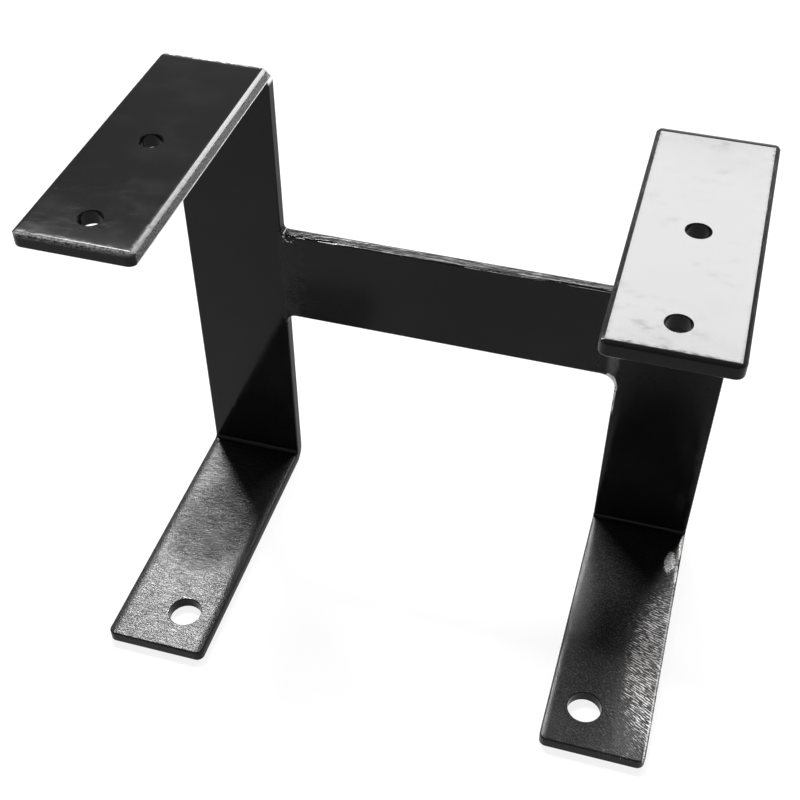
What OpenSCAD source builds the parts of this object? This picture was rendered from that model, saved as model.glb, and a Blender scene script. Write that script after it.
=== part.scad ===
// Bumper mount bracket: two straps bent from flat bar, joined by a welded cross bar.
// X runs from the left strap to the right one, Y to the back, Z up, in millimetres.
// The origin is on the ground, in the middle of the feet's outline.

/* [Flat bar] */
// Width of the flat bar that the two straps are bent from
strap_width = 50.8; // [40:0.1:60]
// Thickness of all the flat bar
stock_thickness = 6.35; // [4:0.05:8]
// Rounding along the long edges of all the flat bar
stock_edge = 0.8; // [0.4:0.1:1.4]
// Rounding of the corners at the cut ends of the straps
corner_radius = 3.7; // [2.2:0.1:8]

/* [Straps] */
// Height from the underside of the feet to the top of the flanges
height = 248; // [210:1:320]
// Length of each upper flange, from the back of its upright
flange_length = 148.5; // [120:0.5:220]
// Length of each foot, from the back of its upright
foot_length = 154.5; // [120:0.5:220]
// Distance between the centre lines of the two straps
strap_spacing = 223.5; // [160:0.5:320]
// Inside radius of the bends
bend_radius = 2; // [1:0.5:9]
// Width of the soft bevel that is ground round the rim of each flange's top
rim_width = 1.9; // [0.6:0.1:4]
// Depth of that bevel at the sides of the flange
rim_depth = 1; // [0.4:0.1:2]
// Reach of the soft corner that is ground on each side of a flange's bend
bend_corner = 3.1; // [0.8:0.1:4]

/* [Holes] */
// Diameter of the two holes in each flange
flange_hole = 9.7; // [6:0.1:13]
// Distance from a flange's free end to its first hole
flange_hole_end = 17.3; // [12:0.1:30]
// Distance between the two holes of a flange
flange_hole_pitch = 56.5; // [30:0.5:70]
// Diameter of the hole in each foot
foot_hole = 16.6; // [8:0.1:20]
// Distance from a foot's free end to its hole
foot_hole_end = 23; // [15:0.1:40]
// Offset of the foot holes from the straps' centre lines, towards each other
foot_hole_offset = 7.4; // [0:0.1:11]
// Small chamfer that takes the burr off each hole
hole_deburr = 0.4; // [0.1:0.1:1]

/* [Cross bar] */
// Width of the cross bar, which stands on edge
bar_width = 50.8; // [30:0.1:60]
// Height of the cross bar's lower edge above the ground
bar_height = 108.5; // [50:0.5:130]
// Width of the welding bevel on the front of the bar's ends
bevel_front = 3; // [1:0.1:4]
// Width of the welding bevel on the back of the bar's ends
bevel_back = 2; // [0.5:0.1:2.4]

/* [Welds] */
// Reach of each ground bead over the front of the cross bar
bead_on_bar = 12; // [6:0.5:20]
// Reach of each ground bead over the front of the upright
bead_on_strap = 2; // [1:0.1:5]
// Height of the bead's crown above the bars
bead_crown = 0.4; // [0.2:0.1:1.2]
// Radius of the weld fillet under the left end of the cross bar
left_fillet = 5; // [2:0.5:10]
// Radius of the weld fillet under the right end of the cross bar
right_fillet = 9; // [2:0.5:12]
// Radius of the weld fillets on top of the cross bar
top_fillet = 2; // [1:0.5:6]
// Radius of the pit that the left bead leaves at the bar's top corner
pit_radius = 2.4; // [1:0.1:4]

/* [Hidden] */
$fn = 64;
slack = 0.5;
// Back plane of the uprights, which centres the feet on Y
back = foot_length / 2;
// Outside radius of the bends
bend_outside = bend_radius + stock_thickness;
// Height of the bends' outer arc above its chord
bend_rise = bend_outside * (1 - cos(45));
// Length of the cross bar, which fits face to face between the uprights
bar_length = strap_spacing - strap_width;
bar_top = bar_height + bar_width;
// The crown is an arc whose chord runs from one toe of the bead to the other
bead_chord = bead_on_strap + bead_on_bar;
crown_radius = (pow(bead_chord / 2, 2) + pow(bead_crown, 2)) / (2 * bead_crown);
crown_sides = 720;
pit_depth = 0.6 * pit_radius;
// Share of its radius by which a fillet's arc stands off from the bars that it joins
toe_angle = 0.15;
PAINT = [0.07, 0.07, 0.075];
WELD_PAINT = [0.1, 0.1, 0.105];

// Section of flat bar with rounded long edges, its width along X
module flat_section(width) {
    square([width - 2 * stock_edge, stock_thickness], center = true);
    square([width, stock_thickness - 2 * stock_edge], center = true);
    for (x = [-1, 1], y = [-1, 1])
        translate([x * (width / 2 - stock_edge), y * (stock_thickness / 2 - stock_edge)])
            circle(r = stock_edge);
}

// Half section at a cut end, from X = 0 to the corner radius, rounded at its outer side
module end_section() {
    translate([0, -stock_thickness / 2]) square([corner_radius - stock_edge, stock_thickness]);
    translate([0, stock_edge - stock_thickness / 2])
        square([corner_radius, stock_thickness - 2 * stock_edge]);
    for (y = [-1, 1])
        translate([corner_radius - stock_edge, y * (stock_thickness / 2 - stock_edge)])
            circle(r = stock_edge);
}

// Keeps the part of an end section that lies outside the axis it turns about
module end_section_outside() {
    intersection() {
        end_section();
        translate([0, -stock_thickness]) square([2 * corner_radius, 2 * stock_thickness]);
    }
}

// Flat leg on the ground that runs forward from Y = 0, with rounded corners at its free end
module leg(length) {
    shoulder = length - corner_radius;
    side = strap_width / 2 - corner_radius;
    translate([0, 0, stock_thickness / 2]) {
        translate([0, -bend_outside, 0]) rotate([90, 0, 0])
            linear_extrude(shoulder - bend_outside) flat_section(strap_width);
        translate([side, -shoulder, 0]) rotate([90, 0, -90])
            linear_extrude(2 * side) end_section_outside();
        translate([side, -shoulder, 0]) rotate([0, 0, -90])
            rotate_extrude(angle = 90) end_section_outside();
        translate([-side, -shoulder, 0]) rotate([0, 0, 180])
            rotate_extrude(angle = 90) end_section_outside();
    }
}

// Quarter turn from the leg up to the upright
module bend() {
    translate([0, -bend_outside, bend_outside]) rotate([0, 90, 0])
        rotate_extrude(angle = 90)
            translate([bend_radius + stock_thickness / 2, 0])
                rotate([0, 0, 90]) flat_section(strap_width);
}

// Straight part between the bends
module upright() {
    translate([0, -stock_thickness / 2, bend_outside])
        linear_extrude(height - 2 * bend_outside) flat_section(strap_width);
}

// Section of what grinding takes off a rim, in a shallow step and a steeper one.
// The side of the bar is at X = 0 and its face at Y = 0.
module ground_section() {
    steeper = [0.4 * rim_width, 0.65 * rim_depth];
    polygon([
        [-rim_width, -slack], [-rim_width, 0], [-steeper.x, rim_depth - steeper.y],
        [slack, rim_depth + slack * steeper.y / steeper.x], [slack, -slack]
    ]);
}

// What grinding takes off the sides and the free end of a leg's underside
module ground_rim(length) {
    for (side = [0, 1]) mirror([side, 0, 0])
        translate([strap_width / 2, 0, 0]) rotate([90, 0, 0])
            linear_extrude(length + slack) ground_section();
    translate([strap_width / 2 + slack, -length, 0]) rotate([90, 0, -90])
        linear_extrude(strap_width + 2 * slack) ground_section();
}

// Section of what grinding takes off a corner of a bend, in a steep step and a shallower one.
// The side of the bar is at X = 0 and the chord of the bend's outer arc at Y = 0.
module ground_corner_section() {
    knee = [0.65 * bend_corner, 0.82 * bend_rise];
    beyond = slack * (bend_corner - knee.x) / (bend_rise - knee.y);
    polygon([
        [slack, -slack * knee.y / knee.x], [-knee.x, knee.y], [-bend_corner, bend_rise],
        [-bend_corner - beyond, bend_rise + slack], [slack, bend_rise + slack]
    ]);
}

// What grinding takes off both outer corners of a bend, which fades out at the ends of its arc
module ground_corners() {
    for (side = [0, 1]) mirror([side, 0, 0])
        translate([strap_width / 2, -bend_outside / 2, bend_outside / 2]) rotate([-45, 0, 0])
            linear_extrude(2 * bend_outside, center = true) ground_corner_section();
}

// Drilled hole through flat bar that lies on the ground, with the burr taken off
module drilled(diameter) {
    translate([0, 0, -slack]) cylinder(d = diameter, h = stock_thickness + 2 * slack);
    translate([0, 0, -slack])
        cylinder(d1 = diameter + 2 * (hole_deburr + slack), d2 = diameter, h = hole_deburr + slack);
    translate([0, 0, stock_thickness - hole_deburr])
        cylinder(d1 = diameter, d2 = diameter + 2 * (hole_deburr + slack), h = hole_deburr + slack);
}

// One strap with its back at Y = 0, where inward is the X direction of the other strap
module strap(inward) {
    flange_holes = [flange_hole_end, flange_hole_end + flange_hole_pitch];
    difference() {
        union() {
            leg(foot_length);
            bend();
            upright();
            translate([0, 0, height]) mirror([0, 0, 1]) difference() {
                union() {
                    leg(flange_length);
                    bend();
                }
                ground_rim(flange_length);
                ground_corners();
            }
        }
        translate([inward * foot_hole_offset, foot_hole_end - foot_length, 0]) drilled(foot_hole);
        for (reach = flange_holes)
            translate([0, reach - flange_length, height - stock_thickness]) drilled(flange_hole);
    }
}

// Flat bar cut to length with a bevel on the front and back of both ends for the welds
module bevelled_bar() {
    difference() {
        translate([-bar_length / 2, -stock_thickness / 2, bar_height + bar_width / 2])
            rotate([0, 90, 0]) linear_extrude(bar_length) flat_section(bar_width);
        for (end = [0, 1]) mirror([end, 0, 0]) translate([-bar_length / 2, 0, bar_height - slack]) {
            translate([0, -stock_thickness, 0]) linear_extrude(bar_width + 2 * slack)
                polygon([[-slack, -slack], [bevel_front + slack, -slack], [-slack, bevel_front + slack]]);
            linear_extrude(bar_width + 2 * slack)
                polygon([[-slack, slack], [-slack, -bevel_back - slack], [bevel_back + slack, slack]]);
        }
    }
}

// Concave corner between the side of the upright and the bar, which meets both at a slight angle
module fillet_outline(radius) {
    centre = (1 + toe_angle) * radius;
    difference() {
        square(radius);
        translate([centre, centre]) circle(r = norm([centre, centre - radius]));
    }
}

// Bead seen from above, with X = 0 at the side of the upright, out to a reach over the bar.
// The crown is an arc in front, and the back is flush.
module bead_section(reach) {
    intersection() {
        translate([bead_chord / 2 - bead_on_strap, crown_radius - bead_crown - stock_thickness])
            circle(r = crown_radius, $fn = crown_sides);
        translate([-bead_on_strap, -2 * stock_thickness])
            square([bead_on_strap + reach, 2 * stock_thickness]);
    }
}

// Bead at the left end of the bar: it fills the bevels, wraps the bar's edges and turns into
// a fillet in the corners above and below
module bead(fillet_below) {
    difference() {
        translate([-bar_length / 2, 0, 0]) {
            translate([0, 0, bar_height]) linear_extrude(bar_width)
                bead_section(max(fillet_below, bevel_front));
            translate([0, 0, bar_height + stock_edge]) linear_extrude(bar_width - 2 * stock_edge)
                bead_section(bead_on_bar);
            translate([0, 0, bar_height]) rotate([90, 0, 0]) linear_extrude(stock_thickness)
                mirror([0, 1]) fillet_outline(fillet_below);
            translate([0, 0, bar_top]) rotate([90, 0, 0]) linear_extrude(stock_thickness)
                fillet_outline(top_fillet);
        }
        bevelled_bar();
        translate([-strap_spacing / 2, 0, 0]) upright();
    }
}

module left_strap() {
    color(PAINT) translate([-strap_spacing / 2, back, 0]) strap(1);
}

module right_strap() {
    color(PAINT) translate([strap_spacing / 2, back, 0]) strap(-1);
}

module cross_bar() {
    color(PAINT) translate([0, back, 0]) bevelled_bar();
}

module left_weld() {
    color(WELD_PAINT) translate([0, back, 0]) difference() {
        bead(left_fillet);
        translate([pit_radius - bar_length / 2, pit_depth - pit_radius - stock_thickness, bar_top - pit_radius])
            sphere(r = pit_radius);
    }
}

module right_weld() {
    color(WELD_PAINT) translate([0, back, 0]) mirror([1, 0, 0]) bead(right_fillet);
}

left_strap();
right_strap();
cross_bar();
left_weld();
right_weld();
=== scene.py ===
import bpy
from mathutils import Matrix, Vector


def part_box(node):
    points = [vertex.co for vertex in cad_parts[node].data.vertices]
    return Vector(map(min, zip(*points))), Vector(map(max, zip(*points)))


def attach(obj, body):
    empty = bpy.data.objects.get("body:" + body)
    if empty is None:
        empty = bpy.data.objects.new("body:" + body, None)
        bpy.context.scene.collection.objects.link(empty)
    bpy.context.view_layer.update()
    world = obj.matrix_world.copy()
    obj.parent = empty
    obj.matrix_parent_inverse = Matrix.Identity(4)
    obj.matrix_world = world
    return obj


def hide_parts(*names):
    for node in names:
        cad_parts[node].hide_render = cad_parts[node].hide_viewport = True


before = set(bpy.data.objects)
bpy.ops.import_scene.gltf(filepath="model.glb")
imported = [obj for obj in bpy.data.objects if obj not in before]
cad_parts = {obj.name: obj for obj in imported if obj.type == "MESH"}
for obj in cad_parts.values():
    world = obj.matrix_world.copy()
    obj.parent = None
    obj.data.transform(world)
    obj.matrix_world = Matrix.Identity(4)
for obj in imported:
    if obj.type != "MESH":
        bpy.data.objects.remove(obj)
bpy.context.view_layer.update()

import math

import bmesh
import bpy
import numpy as np
from mathutils import Matrix, Vector

scene = bpy.context.scene
mm = 0.001

# Where the CAD solids say things are, in millimetres
barLow, barHigh = (np.array(corner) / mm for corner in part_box("cross_bar"))
strapLow, strapHigh = (np.array(corner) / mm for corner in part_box("right_strap"))
strapCentre = (strapLow[0] + strapHigh[0]) / 2
halfWidth = (strapHigh[0] - strapLow[0]) / 2
thickness = barHigh[1] - barLow[1]
bendOutside = thickness + 2      # radius of the outside of the bends
flangeFront = strapLow[1] + 6    # the flanges are that much shorter than the feet
flangeTop, uprightBack = strapHigh[2], strapHigh[1]

camera = {
    "azimuth": 15.712,      # degrees to the right of straight ahead
    "elevation": 46.206,    # degrees above the floor
    "roll": 0.326,
    "place": (113.587, -409.418, 531.001),    # millimetres
    "lens": 57.197,
    "shift": (-0.0075, 0.0875),
}


def makeCamera():
    a, e, r = (math.radians(camera[key]) for key in ("azimuth", "elevation", "roll"))
    back = Vector((math.sin(a) * math.cos(e), -math.cos(a) * math.cos(e), math.sin(e)))
    side = (-back).cross(Vector((0, 0, 1))).normalized()
    top = side.cross(-back)
    data = bpy.data.cameras.new("camera")
    data.sensor_width, data.lens = 36, camera["lens"]
    data.shift_x, data.shift_y = camera["shift"]
    data.clip_start, data.clip_end = 0.01, 100
    made = bpy.data.objects.new("camera", data)
    right = math.cos(r) * side + math.sin(r) * top
    up = -math.sin(r) * side + math.cos(r) * top
    turned = Matrix((right, up, back)).transposed().to_4x4()
    made.matrix_world = Matrix.Translation(Vector(camera["place"]) * mm) @ turned
    scene.collection.objects.link(made)
    scene.camera = made


makeCamera()
print("camera made")


# Wraps an output socket. Arithmetic between wires and numbers adds Math nodes.
class Wire:
    def __init__(self, tree, socket=None):
        self.tree, self.socket = tree, socket

    # Any node: its kind, its settings, the values or wires of its inputs, and which output to use
    def node(self, kind, settings=None, values=None, out=0):
        made = self.tree.nodes.new(kind)
        for name, value in (settings or {}).items():
            setattr(made, name, value)
        for name, value in (values or {}).items():
            if isinstance(value, Wire):
                self.tree.links.new(value.socket, made.inputs[name])
            else:
                made.inputs[name].default_value = value
        return Wire(self.tree, made.outputs[out])

    def maths(self, operation, first, second=0.0):
        return self.node("ShaderNodeMath", {"operation": operation}, {0: first, 1: second})

    def sine(self):
        return self.maths("SINE", self)

    def __add__(self, other):
        return self.maths("ADD", self, other)

    def __radd__(self, other):
        return self.maths("ADD", other, self)

    def __sub__(self, other):
        return self.maths("SUBTRACT", self, other)

    def __rsub__(self, other):
        return self.maths("SUBTRACT", other, self)

    def __mul__(self, other):
        return self.maths("MULTIPLY", self, other)

    def __rmul__(self, other):
        return self.maths("MULTIPLY", other, self)

    def __truediv__(self, other):
        return self.maths("DIVIDE", self, other)

    def __pow__(self, other):
        return self.maths("POWER", self, other)

    def __abs__(self):
        return self.maths("ABSOLUTE", self)

    def most(self, other):
        return self.maths("MAXIMUM", self, other)

    def least(self, other):
        return self.maths("MINIMUM", self, other)

    # Rises smoothly from 0 to 1 as the value goes from low to high, or falls where low is the larger
    def rise(self, low, high):
        if low > high:
            return 1 - self.rise(high, low)
        smooth = {"interpolation_type": "SMOOTHSTEP"}
        return self.node("ShaderNodeMapRange", smooth, {0: self, 1: low, 2: high})

    # 1 between two values, with an edge that starts and ends that far to either side of them
    def between(self, low, high, soft):
        return self.rise(low - soft, low + soft) * self.rise(high + soft, high - soft)

    # Noise over a vector that is already in units of one lump
    def noise(self, vector, detail=2.0, rough=0.5, twist=0.0):
        return self.node("ShaderNodeTexNoise", {}, {
            "Vector": vector, "Scale": 1.0, "Detail": detail, "Roughness": rough, "Distortion": twist})

    def vector(self, x, y, z):
        return self.node("ShaderNodeCombineXYZ", {}, {0: x, 1: y, 2: z})

    # From one colour to another by a factor
    def blend(self, factor, first, second):
        return self.node("ShaderNodeMix", {"data_type": "RGBA"}, {0: factor, 6: first, 7: second}, 2)


# Object coordinates in millimetres, as three wires
def places(wire):
    whole = wire.node("ShaderNodeTexCoord", {}, {}, "Object")
    scaled = wire.node("ShaderNodeVectorMath", {"operation": "SCALE"}, {0: whole, "Scale": 1 / mm})
    return [wire.node("ShaderNodeSeparateXYZ", {}, {0: scaled}, k) for k in range(3)]


def grey(level, tint=(1.0, 1.0, 1.0)):
    return (level * tint[0], level * tint[1], level * tint[2], 1.0)


# How far a place is from a middle, in shares of its half sizes
def shares(x, y, place):
    middleX, middleY, halfX, halfY = place
    return (((x - middleX) / halfX) ** 2 + ((y - middleY) / halfY) ** 2) ** 0.5


paint = {
    "colour": 0.0034,        # the paint itself, without its gloss
    "tint": (1.0, 1.0, 1.06),
    "specular": 0.13,
    "roughness": 0.08,
    "sideRoughness": 0.46,   # on the rolled and sheared edges of the flat bar
    "waveHeight": 0.008,     # slow waves of the rolled surface under the paint
    "peelHeight": 0.0012,    # orange peel of the paint
    "grainHeight": 0.05,     # grain of the cut edges
    "groundHeight": 0.16,    # transverse grinding lines on the feet
    "dentHeight": 0.05,      # shallow dents left by handling
    "shearHeight": 0.06,     # upright marks of the shear on the sides of the flat bar
    "wanderHeight": 0.06,    # of the hand-ground rims
    "linePitch": 1.3,        # distance of the ridges among the grinding lines
    "wornDepth": 0.03,       # of the places that are worn to the metal
    "notchDepth": 0.3,       # of the notches
    "wornColour": 0.45,      # bare metal
    "wornTint": (1.0, 0.99, 0.97),
}


# The three layers that every painted face has, as heights in millimetres
def paintLayers(w, x, y, z):
    waves = (w.noise(w.vector(x / 17, y / 17, z / 17), 2) - 0.5) * (2 * paint["waveHeight"])
    peel = (w.noise(w.vector(x / 1.1, y / 1.1, z / 1.1), 2) - 0.5) * (2 * paint["peelHeight"])
    grain = (w.noise(w.vector(x / 0.9, y / 0.9, z / 0.9), 3, 0.6) - 0.5) * (2 * paint["grainHeight"])
    return waves, peel, grain


def finishMaterial(w, colour, roughness, height, metal=0.0):
    bump = w.node("ShaderNodeBump", {}, {"Strength": 1.0, "Distance": mm, "Height": height})
    shader = w.node("ShaderNodeBsdfPrincipled", {}, {
        "Base Color": colour, "Roughness": roughness, "Metallic": metal,
        "Specular IOR Level": paint["specular"], "Normal": bump})
    w.tree.links.new(shader.socket, w.tree.nodes.new("ShaderNodeOutputMaterial").inputs["Surface"])


# The paint's own colour, which grows into so many times that colour as the factor goes to 1
def paintColour(w, factor, times):
    colour, tint = paint["colour"], paint["tint"]
    return w.blend(factor, grey(colour, tint), grey(colour * times, tint))


# Fine grains of worn places, from 0 to 1
def wornGrains(w, x, y, z):
    return w.noise(w.vector(x / 0.9, y / 0.9, z / 0.9), 2, 0.6)


def newMaterial(name):
    made = bpy.data.materials.new(name)
    made.use_nodes = True
    made.node_tree.nodes.clear()
    return made, Wire(made.node_tree)


# 1 inside any of some ragged patches, whose edges are moved by noise of that size in mm
def ragged(w, spots, x, y, raggedness=0.45, size=1.6):
    edge = (w.noise(w.vector(x / size, y / size, 0.0), 3, 0.6) - 0.5) * (2 * raggedness)
    patches = [(shares(x, y, spot) + edge).rise(1.08, 0.92) for spot in spots]
    found = patches[0]
    for patch in patches[1:]:
        found = found.most(patch)
    return found


# Each strap's own wear and painted glints: -1 is the left strap, 1 the right one. A place on the foot's top
# is x, y, half width and half length in mm.
strapWearAndGlints = {
    -1: {
        "lineSlope": (0.0, 0.0),      # slope of the grinding lines at the foot's back, and growth per mm
        "lineScale": (4.5, 0.62),     # length and spacing of the lines, mm
        "strongLines": (-112.0, 8.0, 24.0, 38.0),    # place where they are strongest
        "crestGlintColour": 0.07,          # colour of the painted glints on the lines' crests
        "footRoughness": 0.20,
        "footGrain": 0.06,            # height of the grain on the foot, mm
        "rollOff": (6.5, 0.7),        # width in mm and strength of the roll-off along the foot's sides
        "worn": [(-107.0, -45.5, 2.9, 0.35), (-113.0, -56.0, 0.3, 2.4)],    # places worn to the metal
        "notched": [],                # places where it is notched
        "smudge": 0.02,               # extra roughness of the smudges on the flange
        "scuffsAndGlints": 0.5,                # colour of the scuffs and painted glints along the outside of the flange's bend
        "gritAndSheen": 0.10,                 # colour of the gritty inner side, partly painted sheen, and of the flange's front rim, a painted highlight
        "burr": 0.85,                 # colour of the painted glint along the inner side's lower edge
        "haze": 0.0,                  # extra roughness of the upright at the height of the cross bar
        "nickedAndGlinting": 0.0,                # colour of the nicked ground edges of the foot and below the weld, partly a painted edge highlight
    },
    1: {
        "lineSlope": (0.0, 0.005),
        "lineScale": (2.8, 0.5),
        "strongLines": (138.0, -19.0, 24.0, 68.0),
        "crestGlintColour": 0.6,
        "footRoughness": 0.15,
        "footGrain": 0.02,
        "rollOff": (4.5, 0.5),
        "worn": [(131.8, 48.0, 2.7, 7.4), (136.2, 61.0, 1.0, 9.0), (136.0, 41.0, 0.8, 6.0)],
        "notched": [(134.2, 42.8, 1.5, 1.1), (134.3, 31.0, 1.7, 1.3)],
        "smudge": 0.11,
        "scuffsAndGlints": 0.02,
        "gritAndSheen": 0.0,
        "burr": 0.0,
        "haze": 0.2,
        "nickedAndGlinting": 0.5,
    },
}


# 1 on the outside of a flange's bend between two angles from its top, in degrees
def bendBand(y, z, first, last):
    centreY, centreZ = uprightBack - bendOutside, flangeTop - bendOutside
    away = (y - centreY) / (((y - centreY) ** 2 + (z - centreZ) ** 2) ** 0.5)
    low, high = math.sin(math.radians(first)), math.sin(math.radians(last))
    return away.between(low, high, 0.06) * z.rise(centreZ, centreZ + 0.5)


# Heights and masks of a foot's top: its grinding lines, the painted glints on their crests, worn and
# notched places
def footWearAndGlints(w, x, y, z, across, side, onFoot):
    wearAndGlints = strapWearAndGlints[side]
    slope, growth = wearAndGlints["lineSlope"]
    over = y + across * ((50 - y) * growth + slope)
    longways, spacing = wearAndGlints["lineScale"]
    spotX, spotY, spotWide, spotLong = wearAndGlints["strongLines"]
    strong = (((x - spotX) / spotWide) ** 2 + ((y - spotY) / spotLong) ** 2).rise(1.1, 0.25)
    # The lines are noise stretched along them, with evenly spaced ridges that wander where they are strong
    astray = w.noise(w.vector(x / 16, y / 6, 0.0), 1) * 4
    ridges = ((over + astray) * (2 * math.pi / paint["linePitch"])).sine()
    lines = (w.noise(w.vector(across / longways, over / spacing, z / 8), 2, 0.6, 0.1) - 0.5) * 1.05
    lines = lines + ridges * strong * 0.11
    patchy = w.noise(w.vector(x / 11, y / 6, 0.0), 2).rise(0.3, 0.7)
    ground = lines * (onFoot * (0.3 + strong * 0.7) * (0.7 + patchy * 0.3)) * (2 * paint["groundHeight"])
    pitted = (w.noise(w.vector(x / 0.8, y / 0.9, 0.0), 1) - 0.5) * wearAndGlints["footGrain"] * onFoot
    rollWidth, rollStrength = wearAndGlints["rollOff"]
    roll = abs(across).rise(halfWidth - rollWidth, halfWidth + 2) ** 2 * onFoot * -rollStrength
    nearTop = z.rise(4.5, 5.5) * z.rise(9, 8)
    notched = ragged(w, wearAndGlints["notched"], x, y, 0.5) * nearTop if wearAndGlints["notched"] else 0.0
    worn = ragged(w, wearAndGlints["worn"], x, y) * nearTop * (1 - notched)
    # Painted glints: the crests of the lines are painted pale, lying denser the stronger the lines are, and
    # a few lie apart
    crestGlints = (lines + strong * 0.17).rise(0.18, 0.36) * strong * strong
    sparse = w.noise(w.vector(across / 1.6, over / 0.5, 3.0), 1).rise(0.6, 0.74)
    sparse = sparse * (across * side).rise(-10, 24) * y.rise(42, 0)
    crestGlints = crestGlints.most(sparse * 0.3) * onFoot * (1 - notched)
    height = ground + pitted + roll - worn * paint["wornDepth"] - notched * paint["notchDepth"]
    return height, lines, crestGlints, worn


# Paint of one strap; side is -1 for the left strap and 1 for the right one
def strapPaint(name, side):
    made, w = newMaterial(name)
    wearAndGlints = strapWearAndGlints[side]
    x, y, z = places(w)
    across = x - side * strapCentre
    inward = across * -side
    waves, peel, grain = paintLayers(w, x, y, z)
    sideFace = abs(across).rise(halfWidth - 0.35, halfWidth - 0.05)
    innerSide = inward.rise(halfWidth - 0.35, halfWidth - 0.05)
    frontEnd = y.rise(strapLow[1] + 0.5, strapLow[1] + 0.1)
    onFoot = z.rise(9.5, 7.5) * z.rise(4.0, 5.6) * y.rise(uprightBack - 8, uprightBack - 10)
    onTop = z.rise(flangeTop - 2.2, flangeTop - 0.2)
    onFlange = z.rise(flangeTop - 9, flangeTop - 7)
    onBend = bendBand(y, z, 12, 80)
    footHeight, lines, crestGlints, worn = footWearAndGlints(w, x, y, z, across, side, onFoot)
    # Where the rim was ground by hand, its edge wanders
    groundSide = abs(across) if side > 0 else inward
    sideRim = groundSide.rise(halfWidth - 3.4, halfWidth - 1.9)
    rim = onTop * sideRim.most(y.rise(flangeFront + 4.0, flangeFront + 1.9))
    wander = (w.noise(w.vector(x / 3.5, y / 3.5, 0.0), 3, 0.6) - 0.5) * (2 * paint["wanderHeight"]) * rim
    # The rim's steps run into a round: the first is eased in, the steeper one on the left strap fills up
    ease = (y * -1 + (flangeFront + 2.4)).most(0.0).least(0.6)
    soften = ease * ease * -0.14 * onTop
    if side < 0:
        soften = soften + (inward - (halfWidth - 0.76)).most(0.0).least(0.55) * 0.42 * onTop
    dents = (w.noise(w.vector(x / 6, y / 6, z / 6), 2) - 0.5) * (2 * paint["dentHeight"])
    dents = dents * w.noise(w.vector(x / 21, y / 15, z / 24), 1).rise(0.42, 0.75)
    # Shearing leaves upright marks on the cut sides
    shear = (w.noise(w.vector(x / 0.8, y / 0.8, z / 3), 2, 0.55) - 0.5) * (2 * paint["shearHeight"])
    height = waves + peel + dents + grain * (frontEnd * 0.5 + onFoot * 0.35 + onBend * 0.25 + worn)
    height = height + footHeight + wander + soften + shear * sideFace

    mottle = w.noise(w.vector(x / 26, y / 19, z / 30), 3, 0.55).rise(0.42, 0.72)
    specks = w.noise(w.vector(x / 2.2, y / 2.2, z / 2.2), 2, 0.5).rise(0.66, 0.8)
    smudges = w.noise(w.vector(x / 8, y / 5, 0.0), 3, 0.6).rise(0.5, 0.72)
    smudges = smudges * w.noise(w.vector(x / 24, y / 32, 5.0), 1).rise(0.42, 0.62)
    dull = w.noise(w.vector(x / 0.8, y / 0.9, 7.0), 1).rise(0.42, 0.62) * 0.16 + lines * 0.6
    roughness = paint["roughness"] + mottle * 0.03 + specks * 0.05 + rim * 0.07 + onBend * 0.06
    roughness = roughness + sideFace.most(frontEnd * 0.6) * (paint["sideRoughness"] - paint["roughness"])
    roughness = roughness + onFoot * (1 - sideFace) * (wearAndGlints["footRoughness"] - paint["roughness"] + dull)
    roughness = roughness + worn * 0.3 + smudges * onTop * wearAndGlints["smudge"]
    if wearAndGlints["haze"]:
        roughness = roughness + z.rise(70, 118) * z.rise(200, 160) * wearAndGlints["haze"]

    colour = paintColour(w, mottle * 0.3 + sideFace * 0.5 + onFoot * 0.8, 2)
    grains = wornGrains(w, x, y, z).rise(0.36, 0.66)
    if wearAndGlints["nickedAndGlinting"]:
        # Ragged pale edges: nicks, partly painted as an edge highlight
        upright = z.rise(82, 88) * z.rise(102, 100) * y.rise(barLow[1] + 1.4, barLow[1] + 0.9)
        upright = upright * inward.rise(halfWidth - 1.3, halfWidth - 0.8)
        foot = across.rise(halfWidth - 1.5, halfWidth - 1.2) * across.rise(halfWidth - 0.5, halfWidth - 0.8)
        foot = foot * onFoot * y.rise(43, 39)
        nickedAndGlinting = (upright * (grains * 1.6).least(1.0)).most(foot * (0.2 + grains * 0.8))
        colour = w.blend(nickedAndGlinting, colour, grey(wearAndGlints["nickedAndGlinting"]))
    if wearAndGlints["gritAndSheen"]:
        # Painted highlight of grainy pale paint on the front rim, and painted sheen on the gritty inner
        # side
        frontRimHighlight = onTop * y.rise(flangeFront + 2.6, flangeFront + 1.2)
        gritty = 0.1 + grains * 0.9
        colour = w.blend(frontRimHighlight * gritty, colour, grey(wearAndGlints["gritAndSheen"] * 1.3))
        colour = w.blend(innerSide * onFlange * gritty, colour, grey(wearAndGlints["gritAndSheen"] * 1.7))
        # Painted glint along the inner side's lower edge, which is also made smoother
        burr = innerSide * onFlange * z.rise(flangeTop - thickness + 1.25, flangeTop - thickness + 0.85)
        colour = w.blend(burr, colour, grey(wearAndGlints["burr"]))
        roughness = roughness - burr * (paint["sideRoughness"] - 0.12)
    # The bend's back corner on the inner side and the upright's edge below it are rubbed, and partly
    # painted pale as a highlight
    rubbedAndGlinting = inward.rise(halfWidth - 3.0, halfWidth - 1.6) * bendBand(y, z, 8, 86) * 0.3
    backEdge = inward.rise(halfWidth - 0.9, halfWidth - 0.4) * y.rise(uprightBack - 1.1, uprightBack - 0.6)
    rubbedAndGlinting = rubbedAndGlinting.most(backEdge * (0.35 + z.rise(60, 170) * 0.65))
    # Scuffs along the outside of the bend, partly painted glints
    scuffsAndGlints = w.noise(w.vector(x / 3.2, y / 0.8, z / 0.8), 3, 0.62) * bendBand(y, z, 9, 46)
    scuffsAndGlints = scuffsAndGlints.rise(0.48, 0.62).most(rubbedAndGlinting * (0.15 + grains * 0.6))
    colour = w.blend(scuffsAndGlints, colour, grey(wearAndGlints["scuffsAndGlints"]))
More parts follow.
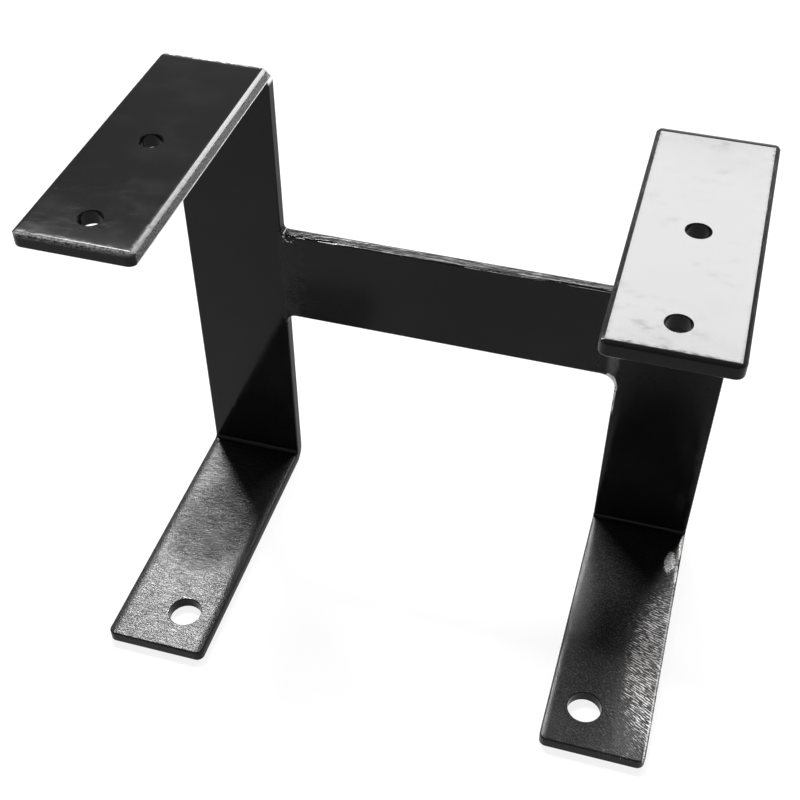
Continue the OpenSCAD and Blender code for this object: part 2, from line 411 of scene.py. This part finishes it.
    # Painted glints on the crests of the grinding lines
    colour = w.blend(crestGlints, colour, grey(wearAndGlints["crestGlintColour"]))
    colour = w.blend(worn * (0.25 + grains * 0.75), colour, grey(paint["wornColour"], paint["wornTint"]))
    finishMaterial(w, colour, roughness, height, worn * 0.75)
    return made


barWearAndGlints = {
    "streakHeight": 0.85,    # rolling marks along the bar, mm
    "fineHeight": 0.1,       # finer marks between them
    "fanStart": 58.0,        # distance from the middle where the marks begin to bend, mm
    "fanBend": 0.011,        # and how fast they do
    "edgeRoll": 0.11,        # how fast the top's edges roll down
    "scuffAndGlintColour": 0.4,
    "weldHaze": 0.16,        # extra roughness beside the left weld
}


def barPaint(name):
    made, w = newMaterial(name)
    x, y, z = places(w)
    waves, peel, grain = paintLayers(w, x, y, z)
    topFace = z.rise(barHigh[2] - 0.6, barHigh[2] - 0.1)
    lowFace = z.rise(barLow[2] + 0.6, barLow[2] + 0.1)
    # Rolling marks run along the top and bend away at the left weld
    fan = (x * -1 - barWearAndGlints["fanStart"]).most(0.0)
    over = y + fan * fan * barWearAndGlints["fanBend"]
    streaks = w.noise(w.vector(x / 42, over / 1.9, z / 3), 1, 0.5) - 0.5
    streaks = streaks * (2 * barWearAndGlints["streakHeight"]) * topFace
    fine = (w.noise(w.vector(x / 9, over / 0.7, z / 3), 2, 0.6) - 0.5) * (2 * barWearAndGlints["fineHeight"])
    streaks = streaks + fine * (topFace + lowFace)
    # The top's front and rear edges are rolled down over the last 2 mm
    frontEdge = (y * -1 + (barLow[1] + 2.0)).most(0.0)
    rearEdge = (y - (barHigh[1] - 2.2)).most(0.0)
    roll = (frontEdge * frontEdge + rearEdge * rearEdge) * -barWearAndGlints["edgeRoll"] * topFace
    # Scuffs along the top's front edge, partly a painted glint of that edge
    scuffsAndGlints = w.noise(w.vector(x / 2.4, y / 1.1, z / 1.1), 3, 0.65).rise(0.6, 0.68)
    scuffsAndGlints = scuffsAndGlints * topFace * frontEdge.rise(0.4, 1.4)
    scuffsAndGlints = scuffsAndGlints * w.noise(w.vector(x / 14, 3.1, 0.0), 1).rise(0.5, 0.6)
    mottle = w.noise(w.vector(x / 30, y / 30, z / 18), 3, 0.55).rise(0.42, 0.72)
    besideWeld = x.rise(-30, -58) * z.rise(138, 116)
    height = waves + peel + grain * (lowFace * 0.5 + scuffsAndGlints) + streaks + roll
    roughness = paint["roughness"] + 0.05 + mottle * 0.04 + lowFace * 0.2 + scuffsAndGlints * 0.2
    roughness = roughness + besideWeld * barWearAndGlints["weldHaze"]
    colour = paintColour(w, mottle * 0.3 + lowFace * 0.5, 1.8)
    colour = w.blend(scuffsAndGlints, colour, grey(barWearAndGlints["scuffAndGlintColour"]))
    finishMaterial(w, colour, roughness, height, scuffsAndGlints * 0.6)
    return made


# Paint of a weld bead, from the settings of its piece
def weldPaint(name, settings):
    made, w = newMaterial(name)
    x, y, z = places(w)
    waves, peel, grain = paintLayers(w, x, y, z)
    grains = wornGrains(w, x, y, z)
    height = waves + peel + grain * 0.12
    uneven = w.noise(w.vector(x / 3, y / 3, z / 4), 2).rise(0.35, 0.7)
    roughness = settings["roughness"] + uneven * 0.07 + z.rise(138, 116) * settings["lowHaze"]
    colour = paintColour(w, w.noise(w.vector(x / 4, y / 4, z / 4), 2), 2)
    # Painted sheen: the bead is lightened where its ground face catches the light
    sheenPatch = shares(x, z, settings["sheenPatch"]).rise(1.3, 0.4)
    colour = w.blend(sheenPatch, colour, grey(settings["sheenColour"]))
    # A painted highlight runs along the fillet below, on half metallic paint: it is widest where the fillet
    # is steep, and stops short of the bar
    radius, (width, highlightColour) = settings["fillet"], settings["rimHighlight"]
    arcX, arcZ = settings["side"] * (strapLow[0] - radius), barLow[2] - radius
    away = ((x - arcX) ** 2 + (z - arcZ) ** 2) ** 0.5 + (grains - 0.5) * 1.6
    reach = abs(x - arcX) / radius
    steep = reach.rise(0.25, 0.6) * reach.rise(1.4, 0.9)
    rim = (away - steep * width).rise(radius + 0.3, radius - 0.3) * steep.rise(0.02, 0.2)
    rim = rim * y.rise(barHigh[1] - 1, barHigh[1] - 3)
    colour = w.blend(rim * (0.4 + grains * 0.6), colour, grey(highlightColour))
    metal = rim * 0.5
    if settings["crater"]:
        craterZ = settings["crater"][1]
        far = shares(x, z, settings["crater"]) + (grains - 0.5) * 0.4
        rough = (w.noise(w.vector(x / 1.5, y / 1.5, z / 1.5), 3, 0.6) - 0.5) * 2.6
        height = height + far.rise(1.05, 0.75) * rough
        # Its lower edge glints in a few places
        glints = far.rise(0.8, 0.92) * far.rise(1.2, 1.05) * z.rise(craterZ + 0.5, craterZ - 1.0)
        glints = glints * w.noise(w.vector(x / 1.7, 4.3, z / 1.7), 1).rise(0.42, 0.5)
        colour = w.blend(glints, colour, grey(settings["glintColour"]))
        metal = metal.most(glints * 0.4)
    finishMaterial(w, colour, roughness + metal * 0.4, height + grain * rim * 0.6, metal)
    return made


for nodeName, side in (("left_strap", -1), ("right_strap", 1)):
    made = strapPaint(nodeName.split("_")[0] + "StrapPaint", side)
    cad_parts[nodeName].material_slots[0].material = made
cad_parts["cross_bar"].material_slots[0].material = barPaint("crossBarPaint")
print("paint made for the straps and the cross bar")


# The painted sheen patch and the crater: x, z, half width and half height in mm. Each pit: distance from
# the upright, height from the bar's top, half width, half height and depth.
weldCommon = {
    "onStrap": 2.0,       # reach over the upright's rounded edge, mm
    "onBar": 12.0,        # reach over the front of the cross bar
    "crown": 0.16,        # height above the bars
    "sink": 0.04,         # how far the rim lies under the bars' faces
    "topFillet": 2.0,
    "rounding": 0.9,      # edges of the bead on its front
    "backRounding": 0.5,
    "slant": (0.9, 0.9),  # inset and depth of the rounding along the fillet below
    "rimHighlight": (0.3, 0.05),    # width and colour of the painted highlight along that fillet
    "crater": None,       # an unfilled place
    "glintColour": 0.6,   # of the crater's lower edge
    "roughness": 0.11,
    "lowHaze": 0.14,      # extra roughness of the lower part
    "columns": 96,
    "rows": 300,
}
leftWeld = {
    "side": -1, "fillet": 5.0, "seed": 5,
    "sheenPatch": (-82.0, 112.0, 4.0, 6.0), "sheenColour": 0.012, "crater": (-82.4, 159.4, 2.6, 3.6),
    "pits": [(3.5, -0.5, 1.9, 3.3, 1.7), (7.3, -4.4, 0.8, 0.7, 0.3), (2.6, -4.6, 0.9, 0.7, 0.4)],
}
rightWeld = {
    "side": 1, "fillet": 9.0, "seed": 11,
    "sheenPatch": (84.0, 121.0, 3.2, 14.0), "sheenColour": 0.05, "slant": (1.3, 1.6), "rimHighlight": (2.8, 0.62),
    "pits": [(10.0, -46.9, 1.1, 1.6, 0.3)],
}


# Smooth lumps: the mean of many cosine waves of about one wavelength in seeded directions
def lumps(u, v, wavelength, seed, count=14):
    draw = np.random.default_rng(seed)
    angle, phase = draw.uniform(0, 2 * np.pi, (2, count))
    step = 2 * np.pi / (wavelength * draw.uniform(0.75, 1.35, count))
    total = sum(np.cos(s * (np.cos(a) * u + np.sin(a) * v) + p) for s, a, p in zip(step, angle, phase))
    return total / math.sqrt(count)


# Edge of the bead seen from in front, at a distance a from the side of the upright. Out to the
# fillet's radius it is a quarter circle, then it follows the bar, and over the upright it closes in.
def beadEdge(a, radius, overStrap):
    inCorner = np.clip(a, 0, radius)
    drop = radius - np.sqrt(radius ** 2 - (radius - inCorner) ** 2)
    back = np.clip(-a / overStrap, 0, 1)
    drop = drop * (1 - 0.55 * back ** 1.5)
    across = np.where(a < radius, -(radius - inCorner) / radius, 0.0)
    along = np.sqrt(1 - across ** 2)
    return drop, across, along


# Closed skin of the bead as columns along a, the distance from the upright, and rows that run around
# it: up its front face, back over its top, down its back and forward under it
def beadSkin(s):
    r, rBack = s["rounding"], s["backRounding"]
    # Columns stand closer together near the upright, where the fillet is steep
    a = -s["onStrap"] + (s["onStrap"] + s["onBar"]) * np.linspace(0, 1, s["columns"]) ** 1.35
    a = np.sort(np.append(a, 0.0))
    low, lowAcross, lowAlong = beadEdge(a, s["fillet"], s["onStrap"])
    high, highAcross, highAlong = beadEdge(a, s["topFillet"], s["onStrap"])
    low, high = barLow[2] - low, barHigh[2] + high
    front, rear = barLow[1], barHigh[1]
    turn = np.linspace(0, np.pi / 2, 10)[:, None]
    inset, depth = r * (1 - np.cos(turn[::-1])), r * (1 - np.sin(turn[::-1]))
    # Along the fillet below, the rounding widens into a slant
    share = np.clip(1.25 - a / s["fillet"], 0, 1) * np.clip((a + s["onStrap"]) / s["onStrap"], 0, 1)
    lowInset = (r + (s["slant"][0] - r) * share) * (1 - np.cos(turn))
    lowDepth = (r + (s["slant"][1] - r) * share) * (1 - np.sin(turn))
    # Over the bar the bead's edges sink into the bar, so that it fades out in front of its rounding
    sunk = np.clip((a - s["fillet"] - 0.5) / 2.0, 0, 1) * 1.5
    sunkTop = np.clip((a - s["topFillet"] - 0.5) / 2.0, 0, 1) * 1.5
    low, high = low + lowAlong * sunk, high - highAlong * sunkTop
    bottomEdge = (a + lowAcross * lowInset, front + lowDepth, low + lowAlong * lowInset)
    topEdge = (a + highAcross * inset, front + depth + 0 * a, high - highAlong * inset)
    backTurn = np.linspace(np.pi / 2, 0, 6)[:, None]
    backIn, backDepth = rBack * (1 - np.cos(backTurn)), rBack * (1 - np.sin(backTurn))
    topIn, topDepth = backIn[::-1], backDepth[::-1]
    topBack = (a + highAcross * topIn, rear - topDepth + 0 * a, high - highAlong * topIn)
    lowBack = (a + lowAcross * backIn, rear - backDepth + 0 * a, low + lowAlong * backIn)

    # Rows between the last row of one part and the first row of the next
    def bridge(first, second, count):
        t = np.linspace(0, 1, count)[1:-1, None]
        return tuple(p[-1] * (1 - t) + q[0] * t for p, q in zip(first, second))

    face = bridge(bottomEdge, topEdge, s["rows"])
    topFace, backFace = bridge(topEdge, topBack, 10), bridge(topBack, lowBack, 60)
    lowFace = bridge(lowBack, bottomEdge, 10)
    around = (bottomEdge, face, topEdge, topFace, topBack, backFace, lowBack, lowFace)
    return [np.concatenate([part[k] for part in around]) for k in range(3)]


# The y of the bead's skin after the relief of its ground face and the dips of its back
def relief(s, aGrid, yGrid, zGrid):
    seed, r, rBack = s["seed"], s["rounding"], s["backRounding"]
    # Height of the ground face: a flat crown with wavy toes, low lumps left by the disc, and pits
    toe = s["onBar"] + 0.55 * lumps(zGrid, 0 * zGrid, 7, seed) - 0.2
    span = np.clip((aGrid + s["onStrap"]) / (toe + s["onStrap"]), 0, 1.2)
    rise = s["crown"] * (1 - np.abs(2 * span - 1) ** 3) - s["sink"]
    rise = rise + 0.035 * lumps(aGrid, zGrid * 0.6, 6.5, seed + 1) * np.clip(1.15 - span, 0, 1)
    rise = rise + 0.006 * lumps(aGrid, zGrid * 0.7, 1.8, seed + 2)
    rise = np.where(aGrid > toe, np.minimum(rise, -0.2), rise)
    for pitA, pitZ, wide, tall, deep in s["pits"]:
        far = np.sqrt(((aGrid - pitA) / wide) ** 2 + ((zGrid - barHigh[2] - pitZ) / tall) ** 2)
        far = np.clip(far + 0.22 * lumps(aGrid, zGrid, 1.9, seed + 3), 0, None)
        rise = rise - deep * np.clip(1 - far ** 2, 0, 1) ** 0.8
        # aGrid low wall of metal stands round the pit
        rise = rise + 0.22 * deep * np.exp(-((far - 1.25) / 0.22) ** 2)
    yGrid = yGrid - rise * np.clip((barLow[1] + r - yGrid) / r, 0, 1)
    # Everything else only dips in, so the bead stays within the bars
    onBack = np.clip((yGrid - (barHigh[1] - rBack)) / rBack, 0, 1)
    dip = 0.05 + 0.06 * (1 + lumps(aGrid * 0.8, zGrid, 4.5, seed + 4))
    dip = dip + 0.4 * np.clip((aGrid - 2.2) / 2, 0, 1)
    return yGrid - onBack * np.clip(dip, 0.02, None)


# Mesh of a closed tube whose rows run around it, with a fan at either end
def tubeMesh(name, points):
    rows, columns = points.shape[:2]
    index = np.arange(rows * columns).reshape(rows, columns)
    around = np.roll(index, -1, axis=0)
    quads = np.stack([index[:, :-1], index[:, 1:], around[:, 1:], around[:, :-1]], -1).reshape(-1, 4)
    verts = points.reshape(-1, 3)
    ends = [index[:, 0], index[:, -1]]
    verts = np.concatenate([verts, [verts[end].mean(0) for end in ends]])
    middles = [np.full(rows, rows * columns + k) for k in range(2)]
    caps = [np.stack([np.roll(end, -1), end, middle], -1) for end, middle in zip(ends, middles)]
    caps[1] = caps[1][:, ::-1]
    mesh = bpy.data.meshes.new(name)
    mesh.from_pydata(verts.tolist(), [], quads.tolist() + caps[0].tolist() + caps[1].tolist())
    mesh.validate()
    work = bmesh.new()
    work.from_mesh(mesh)
    bmesh.ops.recalc_face_normals(work, faces=work.faces)
    work.to_mesh(mesh)
    work.free()
    mesh.polygons.foreach_set("use_smooth", [True] * len(mesh.polygons))
    return mesh


def makeWeld(name, settings):
    settings = {**weldCommon, **settings}
    aGrid, yGrid, zGrid = beadSkin(settings)
    yGrid = relief(settings, aGrid, yGrid, zGrid)
    points = np.stack([settings["side"] * (strapLow[0] - aGrid), yGrid, zGrid], -1) * mm
    mesh = tubeMesh(name, points)
    mesh.materials.append(weldPaint(name + "Paint", settings))
    piece = bpy.data.objects.new(name, mesh)
    scene.collection.objects.link(piece)
    low, high = ((corner / mm).round(2).tolist() for corner in (points.min((0, 1)), points.max((0, 1))))
    print(name, "faces", len(mesh.polygons), "box in mm", low, high)
    return piece


for name, node, settings in (("leftBead", "left_weld", leftWeld), ("rightBead", "right_weld", rightWeld)):
    bead = makeWeld(name, settings)
    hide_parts(node)
    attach(bead, "root")
print("weld beads made")


studio = {
    "floorColour": 0.8,
    "floorSize": 30.0,     # metres
    "floorLevel": -5e-5,   # just under the feet, so that the two share no plane
    "keepShadow": 0.15,    # share of the floor's own shading in what the camera sees
    "fill": 0.30,          # plain light from all round
    "sky": 0.50,           # what gloss sees above the white backdrop
    "ceiling": 0.45,       # and overhead
    "flag": 0.22,          # share of that which gloss sees on the left, where a dark flag stands
}
# Each light card: centre and size in metres, and its level at its foot and at its head. It faces straight
# forward where no point is given.
cards = {
    "mainCard": {"centre": (0.10, 1.50, 1.325), "size": (1.20, 0.55), "level": (19.5, 41)},
    "rimCard": {"centre": (-0.15, 1.50, 1.80), "size": (0.30, 0.36), "level": (34, 34)},
    "leftCard": {"centre": (-0.95, 1.50, 2.15), "size": (0.90, 1.10), "level": (12, 168)},
    "rightCard": {"centre": (0.47, 1.50, 2.25), "size": (0.44, 1.25), "level": (20, 18)},
    "sideCard": {"centre": (0.215, 1.50, 1.79), "size": (0.10, 0.34), "level": (26, 14)},
    "overheadCard": {"centre": (-1.66, 0.62, 2.60), "size": (0.50, 0.40), "level": (15, 15),
                     "facing": (-0.11, -0.07, 0.248)},
}


# 1 for what the camera sees itself, in gloss or through glass, and 0 for plain light on a surface
def seenMask(w):
    names = ("Is Camera Ray", "Is Glossy Ray", "Is Transmission Ray")
    rays = [w.node("ShaderNodeLightPath", {}, {}, name) for name in names]
    return rays[0].most(rays[1]).most(rays[2])


# The floor is seen as plain white with a share of its own shading
def makeFloor():
    half, low = studio["floorSize"] / 2, studio["floorLevel"]
    mesh = bpy.data.meshes.new("floor")
    corners = [(-half, -half, low), (half, -half, low), (half, half, low), (-half, half, low)]
    mesh.from_pydata(corners, [], [(0, 1, 2, 3)])
    made, w = newMaterial("paleFloor")
    plain = w.node("ShaderNodeBsdfDiffuse", {}, {"Color": grey(studio["floorColour"])})
    glow = w.node("ShaderNodeEmission", {}, {"Color": grey(1.0), "Strength": 1.0})
    shown = w.node("ShaderNodeMixShader", {}, {0: 1 - studio["keepShadow"], 1: plain, 2: glow})
    both = w.node("ShaderNodeMixShader", {}, {0: seenMask(w), 1: plain, 2: shown})
    w.tree.links.new(both.socket, w.tree.nodes.new("ShaderNodeOutputMaterial").inputs["Surface"])
    mesh.materials.append(made)
    piece = bpy.data.objects.new("floor", mesh)
    scene.collection.objects.link(piece)


# Gloss sees a white backdrop that turns grey above, and the dark flag on the left. What isn't seen is
# plain light from all round.
def makeWorld():
    world = bpy.data.worlds.new("studio")
    world.use_nodes = True
    world.node_tree.nodes.clear()
    scene.world = world
    w = Wire(world.node_tree)
    whole = w.node("ShaderNodeTexCoord", {}, {}, "Generated")
    across, height = (w.node("ShaderNodeSeparateXYZ", {}, {0: whole}, k) for k in (0, 2))
    isCamera = w.node("ShaderNodeLightPath", {}, {}, "Is Camera Ray")
    toSky = height.rise(0.28, 0.48) * (1 - studio["sky"])
    toCeiling = height.rise(0.62, 0.85) * (studio["sky"] - studio["ceiling"])
    flag = across.rise(-0.35, -0.65) * height.rise(0.02, 0.1) * (1 - studio["flag"])
    shown = (1 - toSky - toCeiling) * (1 - flag)
    shown = isCamera + (1 - isCamera) * shown
    seen = seenMask(w)
    strength = seen * shown + (1 - seen) * studio["fill"]
    light = w.node("ShaderNodeBackground", {}, {"Color": grey(1.0), "Strength": strength})
    w.tree.links.new(light.socket, w.tree.nodes.new("ShaderNodeOutputWorld").inputs["Surface"])


# An area lamp's brightness is its power over pi and its area. Each card is brighter at its top, as a
# real soft box is nearer its lamp, so its level runs between two values from its foot to its head.
def makeCard(name, card):
    data = bpy.data.lights.new(name, "AREA")
    data.shape = "RECTANGLE"
    data.size, data.size_y = card["size"]
    data.energy = math.pi * data.size * data.size_y
    data.use_nodes = True
    data.node_tree.nodes.clear()
    w = Wire(data.node_tree)
    place = w.node("ShaderNodeNewGeometry", {}, {}, "Position")
    height = w.node("ShaderNodeSeparateXYZ", {}, {0: place}, 2)
    foot, head = card["level"]
    low = card["centre"][2] - card["size"][1] / 2
    high = low + card["size"][1]
    level = w.node("ShaderNodeMapRange", {}, {0: height, 1: low, 2: high, 3: foot, 4: head})
    glow = w.node("ShaderNodeEmission", {}, {"Color": grey(1.0), "Strength": level})
    w.tree.links.new(glow.socket, w.tree.nodes.new("ShaderNodeOutputLight").inputs["Surface"])
    made = bpy.data.objects.new(name, data)
    centre = Vector(card["centre"])
    towards = Vector(card.get("facing", (centre.x, 0.0, centre.z))) - centre
    turned = towards.to_track_quat("-Z", "Y").to_matrix().to_4x4()
    made.matrix_world = Matrix.Translation(centre) @ turned
    made.visible_camera = False
    scene.collection.objects.link(made)


makeFloor()
makeWorld()
for name, card in cards.items():
    makeCard(name, card)
scene.view_settings.view_transform = "Standard"
print("floor, world and lamps made")
